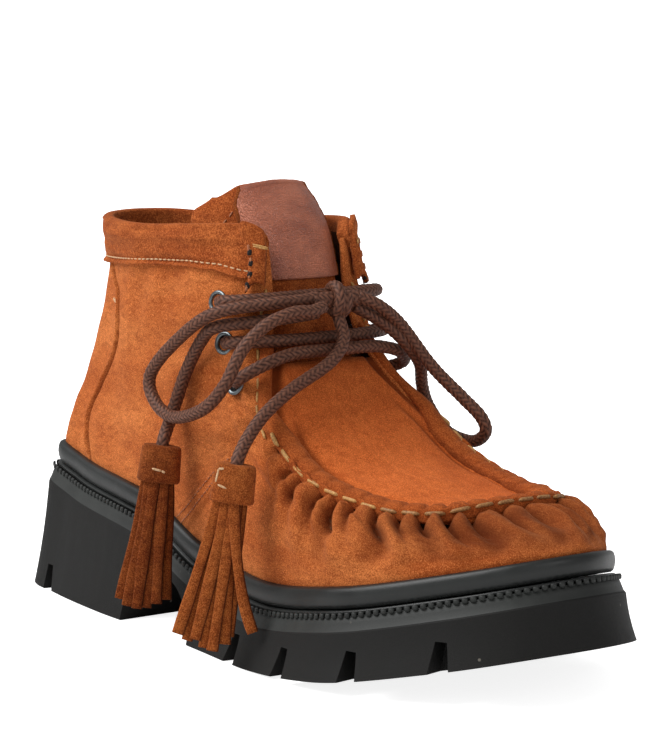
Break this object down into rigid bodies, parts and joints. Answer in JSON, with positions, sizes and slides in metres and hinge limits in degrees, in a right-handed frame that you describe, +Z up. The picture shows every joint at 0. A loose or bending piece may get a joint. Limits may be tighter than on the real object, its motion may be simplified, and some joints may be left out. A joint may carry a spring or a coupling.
{
  "type": "lace-up ankle boot",
  "caption": "Ankle-high lace-up suede boot with a gathered apron toe, a chunky lugged rubber sole, a folded cuff and a bow with tasselled ends.",
  "frame": {"origin": "on the floor, at the middle of the outsole's length and width", "axes": "+X to the toe, +Y to the inner side of the foot, +Z up"},
  "size_m": [0.275, 0.1112, 0.1483],
  "materials": {
    "suede": "rust-tan suede with a short nap",
    "lining": "smooth brown lining",
    "tab_leather": "smooth semi-gloss brown leather",
    "sole_rubber": "matte black rubber",
    "band_rubber": "satin black rubber",
    "eyelet_metal": "dark gunmetal",
    "lace_cord": "round braided cord, dark taupe brown"
  },
  "bodies": {
    "root": {"outsole": "sole_rubber", "welt": "sole_rubber", "midsole": "band_rubber", "insole": "lining", "upper": "suede", "apron": "suede", "cuff": "suede", "tongue": "suede", "tongue_tab": "tab_leather", "eyelet_lateral_1": "eyelet_metal", "eyelet_lateral_2": "eyelet_metal", "eyelet_lateral_3": "eyelet_metal", "eyelet_medial_1": "eyelet_metal", "eyelet_medial_2": "eyelet_metal", "eyelet_medial_3": "eyelet_metal", "lace_bar_1": "lace_cord", "lace_bar_2": "lace_cord", "lace_bar_3": "lace_cord", "lace_knot": "lace_cord", "lace_loop_lateral": "lace_cord", "lace_loop_medial": "lace_cord", "lace_end_lateral": "lace_cord", "lace_end_medial": "lace_cord", "tassel_lateral": "suede", "tassel_medial": "suede"}
  },
  "joints": []
}
